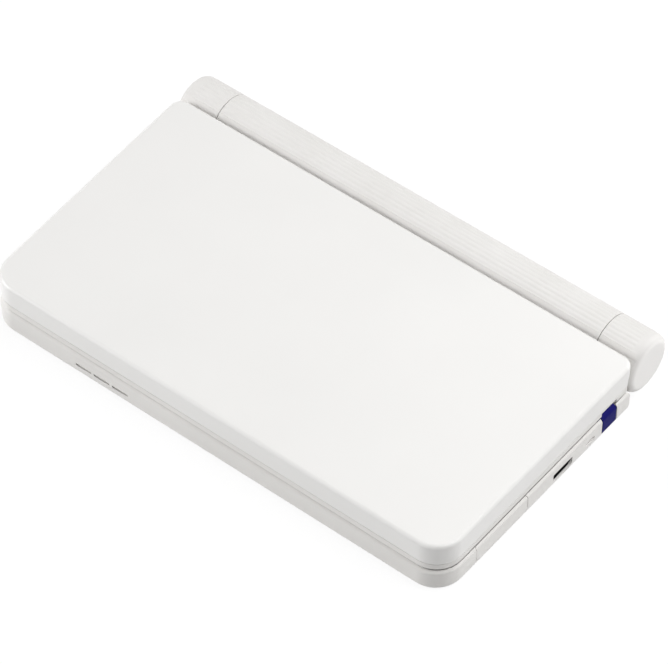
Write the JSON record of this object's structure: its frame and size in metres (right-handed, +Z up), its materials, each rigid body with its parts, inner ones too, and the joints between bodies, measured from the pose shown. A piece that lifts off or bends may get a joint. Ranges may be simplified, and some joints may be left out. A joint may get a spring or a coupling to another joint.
{
  "type": "electronic dictionary",
  "caption": "Closed clamshell electronic dictionary with a ribbed battery barrel as its hinge, a touch display, a letter keyboard, a side stylus and a card slot.",
  "frame": {"origin": "middle of the footprint, on the plane the feet stand on", "axes": "+X along the long side towards the stylus, +Y towards the hinge barrel, +Z up through the closed lid"},
  "size_m": [0.148, 0.0926, 0.0185],
  "materials": {
    "white_case_plastic": "fine satin",
    "white_lid_paint": "satin gloss paint",
    "white_barrel_plastic": "fine satin",
    "deck_plastic": "satin",
    "key_plastic": "satin",
    "stylus_plastic": "semi-gloss",
    "foot_rubber": "matte",
    "mat_silicone": "matte",
    "plain_steel": "plain",
    "display_module": "sheet metal frame",
    "touch_glass": "polished",
    "board_laminate": "solder mask",
    "black_plastic": "satin",
    "cell_sleeve": "printed sleeve, left plain"
  },
  "bodies": {
    "base": {"base_case": "white_case_plastic", "battery_barrel": "white_barrel_plastic", "key_deck": "deck_plastic", "front_foot_strip": "foot_rubber", "rear_foot_strip": "foot_rubber", "key_mat": "mat_silicone", "usb_socket": "plain_steel", "card_socket": "plain_steel", "contact_plate": "plain_steel", "contact_spring": "plain_steel", "main_board": "board_laminate", "speaker": "black_plastic", "earphone_jack": "black_plastic", "battery_cell_left": "cell_sleeve", "battery_cell_right": "cell_sleeve"},
    "lid": {"lid_cover": "white_lid_paint", "lid_frame": "white_case_plastic", "touch_panel": "touch_glass", "display_module": "display_module", "hinge_knuckle_left": "white_barrel_plastic", "hinge_knuckle_right": "white_barrel_plastic", "hinge_shaft_left": "plain_steel", "hinge_shaft_right": "plain_steel"},
    "stylus": {"stylus": "stylus_plastic"},
    "card_cover": {"card_slot_cover": "white_case_plastic"},
    "battery_cover": {"battery_cover": "white_barrel_plastic"},
    "key_q": {"key_q": "key_plastic"},
    "key_w": {"key_w": "key_plastic"},
    "key_e": {"key_e": "key_plastic"},
    "key_r": {"key_r": "key_plastic"},
    "key_t": {"key_t": "key_plastic"},
    "key_y": {"key_y": "key_plastic"},
    "key_u": {"key_u": "key_plastic"},
    "key_i": {"key_i": "key_plastic"},
    "key_o": {"key_o": "key_plastic"},
    "key_p": {"key_p": "key_plastic"},
    "key_a": {"key_a": "key_plastic"},
    "key_s": {"key_s": "key_plastic"},
    "key_d": {"key_d": "key_plastic"},
    "key_f": {"key_f": "key_plastic"},
    "key_g": {"key_g": "key_plastic"},
    "key_h": {"key_h": "key_plastic"},
    "key_j": {"key_j": "key_plastic"},
    "key_k": {"key_k": "key_plastic"},
    "key_l": {"key_l": "key_plastic"},
    "key_z": {"key_z": "key_plastic"},
    "key_x": {"key_x": "key_plastic"},
    "key_c": {"key_c": "key_plastic"},
    "key_v": {"key_v": "key_plastic"},
    "key_b": {"key_b": "key_plastic"},
    "key_n": {"key_n": "key_plastic"},
    "key_m": {"key_m": "key_plastic"},
    "key_shift": {"key_shift": "key_plastic"},
    "key_delete": {"key_delete": "key_plastic"},
    "key_menu": {"key_menu": "key_plastic"},
    "key_back": {"key_back": "key_plastic"},
    "key_enter": {"key_enter": "key_plastic"},
    "cursor_pad": {"cursor_pad": "key_plastic"}
  },
  "joints": [
    {"name": "lid_hinge", "type": "hinge", "parent": "base", "child": "lid", "pos_m": [0, 0.038, 0.01015], "axis": [-1, 0, 0], "range_deg": [0, 150]},
    {"name": "stylus_slide", "type": "slide", "parent": "base", "child": "stylus", "axis": [1, 0, 0], "range_m": [0, 0.092]},
    {"name": "card_cover_hinge", "type": "hinge", "parent": "base", "child": "card_cover", "pos_m": [0.07296, -0.02245, 0.0025], "axis": [0, 1, 0], "range_deg": [0, 90]},
    {"name": "battery_cover_slide", "type": "slide", "parent": "base", "child": "battery_cover", "axis": [0, 0.5, -0.866], "range_m": [0, 0.01]},
    {"name": "key_q_press", "type": "slide", "parent": "base", "child": "key_q", "axis": [0, 0, -1], "range_m": [0, 0.0005], "stiffness_N_per_m": 500, "springref_m": -0.0008},
    {"name": "key_w_press", "type": "slide", "parent": "base", "child": "key_w", "axis": [0, 0, -1], "range_m": [0, 0.0005], "stiffness_N_per_m": 500, "springref_m": -0.0008},
    {"name": "key_e_press", "type": "slide", "parent": "base", "child": "key_e", "axis": [0, 0, -1], "range_m": [0, 0.0005], "stiffness_N_per_m": 500, "springref_m": -0.0008},
    {"name": "key_r_press", "type": "slide", "parent": "base", "child": "key_r", "axis": [0, 0, -1], "range_m": [0, 0.0005], "stiffness_N_per_m": 500, "springref_m": -0.0008},
    {"name": "key_t_press", "type": "slide", "parent": "base", "child": "key_t", "axis": [0, 0, -1], "range_m": [0, 0.0005], "stiffness_N_per_m": 500, "springref_m": -0.0008},
    {"name": "key_y_press", "type": "slide", "parent": "base", "child": "key_y", "axis": [0, 0, -1], "range_m": [0, 0.0005], "stiffness_N_per_m": 500, "springref_m": -0.0008},
    {"name": "key_u_press", "type": "slide", "parent": "base", "child": "key_u", "axis": [0, 0, -1], "range_m": [0, 0.0005], "stiffness_N_per_m": 500, "springref_m": -0.0008},
    {"name": "key_i_press", "type": "slide", "parent": "base", "child": "key_i", "axis": [0, 0, -1], "range_m": [0, 0.0005], "stiffness_N_per_m": 500, "springref_m": -0.0008},
    {"name": "key_o_press", "type": "slide", "parent": "base", "child": "key_o", "axis": [0, 0, -1], "range_m": [0, 0.0005], "stiffness_N_per_m": 500, "springref_m": -0.0008},
    {"name": "key_p_press", "type": "slide", "parent": "base", "child": "key_p", "axis": [0, 0, -1], "range_m": [0, 0.0005], "stiffness_N_per_m": 500, "springref_m": -0.0008},
    {"name": "key_a_press", "type": "slide", "parent": "base", "child": "key_a", "axis": [0, 0, -1], "range_m": [0, 0.0005], "stiffness_N_per_m": 500, "springref_m": -0.0008},
    {"name": "key_s_press", "type": "slide", "parent": "base", "child": "key_s", "axis": [0, 0, -1], "range_m": [0, 0.0005], "stiffness_N_per_m": 500, "springref_m": -0.0008},
    {"name": "key_d_press", "type": "slide", "parent": "base", "child": "key_d", "axis": [0, 0, -1], "range_m": [0, 0.0005], "stiffness_N_per_m": 500, "springref_m": -0.0008},
    {"name": "key_f_press", "type": "slide", "parent": "base", "child": "key_f", "axis": [0, 0, -1], "range_m": [0, 0.0005], "stiffness_N_per_m": 500, "springref_m": -0.0008},
    {"name": "key_g_press", "type": "slide", "parent": "base", "child": "key_g", "axis": [0, 0, -1], "range_m": [0, 0.0005], "stiffness_N_per_m": 500, "springref_m": -0.0008},
    {"name": "key_h_press", "type": "slide", "parent": "base", "child": "key_h", "axis": [0, 0, -1], "range_m": [0, 0.0005], "stiffness_N_per_m": 500, "springref_m": -0.0008},
    {"name": "key_j_press", "type": "slide", "parent": "base", "child": "key_j", "axis": [0, 0, -1], "range_m": [0, 0.0005], "stiffness_N_per_m": 500, "springref_m": -0.0008},
    {"name": "key_k_press", "type": "slide", "parent": "base", "child": "key_k", "axis": [0, 0, -1], "range_m": [0, 0.0005], "stiffness_N_per_m": 500, "springref_m": -0.0008},
    {"name": "key_l_press", "type": "slide", "parent": "base", "child": "key_l", "axis": [0, 0, -1], "range_m": [0, 0.0005], "stiffness_N_per_m": 500, "springref_m": -0.0008},
    {"name": "key_z_press", "type": "slide", "parent": "base", "child": "key_z", "axis": [0, 0, -1], "range_m": [0, 0.0005], "stiffness_N_per_m": 500, "springref_m": -0.0008},
    {"name": "key_x_press", "type": "slide", "parent": "base", "child": "key_x", "axis": [0, 0, -1], "range_m": [0, 0.0005], "stiffness_N_per_m": 500, "springref_m": -0.0008},
    {"name": "key_c_press", "type": "slide", "parent": "base", "child": "key_c", "axis": [0, 0, -1], "range_m": [0, 0.0005], "stiffness_N_per_m": 500, "springref_m": -0.0008},
    {"name": "key_v_press", "type": "slide", "parent": "base", "child": "key_v", "axis": [0, 0, -1], "range_m": [0, 0.0005], "stiffness_N_per_m": 500, "springref_m": -0.0008},
    {"name": "key_b_press", "type": "slide", "parent": "base", "child": "key_b", "axis": [0, 0, -1], "range_m": [0, 0.0005], "stiffness_N_per_m": 500, "springref_m": -0.0008},
    {"name": "key_n_press", "type": "slide", "parent": "base", "child": "key_n", "axis": [0, 0, -1], "range_m": [0, 0.0005], "stiffness_N_per_m": 500, "springref_m": -0.0008},
    {"name": "key_m_press", "type": "slide", "parent": "base", "child": "key_m", "axis": [0, 0, -1], "range_m": [0, 0.0005], "stiffness_N_per_m": 500, "springref_m": -0.0008},
    {"name": "key_shift_press", "type": "slide", "parent": "base", "child": "key_shift", "axis": [0, 0, -1], "range_m": [0, 0.0005], "stiffness_N_per_m": 500, "springref_m": -0.0008},
    {"name": "key_delete_press", "type": "slide", "parent": "base", "child": "key_delete", "axis": [0, 0, -1], "range_m": [0, 0.0005], "stiffness_N_per_m": 500, "springref_m": -0.0008},
    {"name": "key_menu_press", "type": "slide", "parent": "base", "child": "key_menu", "axis": [0, 0, -1], "range_m": [0, 0.0005], "stiffness_N_per_m": 500, "springref_m": -0.0008},
    {"name": "key_back_press", "type": "slide", "parent": "base", "child": "key_back", "axis": [0, 0, -1], "range_m": [0, 0.0005], "stiffness_N_per_m": 500, "springref_m": -0.0008},
    {"name": "key_enter_press", "type": "slide", "parent": "base", "child": "key_enter", "axis": [0, 0, -1], "range_m": [0, 0.0005], "stiffness_N_per_m": 500, "springref_m": -0.0008},
    {"name": "cursor_pad_press", "type": "slide", "parent": "base", "child": "cursor_pad", "axis": [0, 0, -1], "range_m": [0, 0.0005], "stiffness_N_per_m": 500, "springref_m": -0.0008}
  ]
}
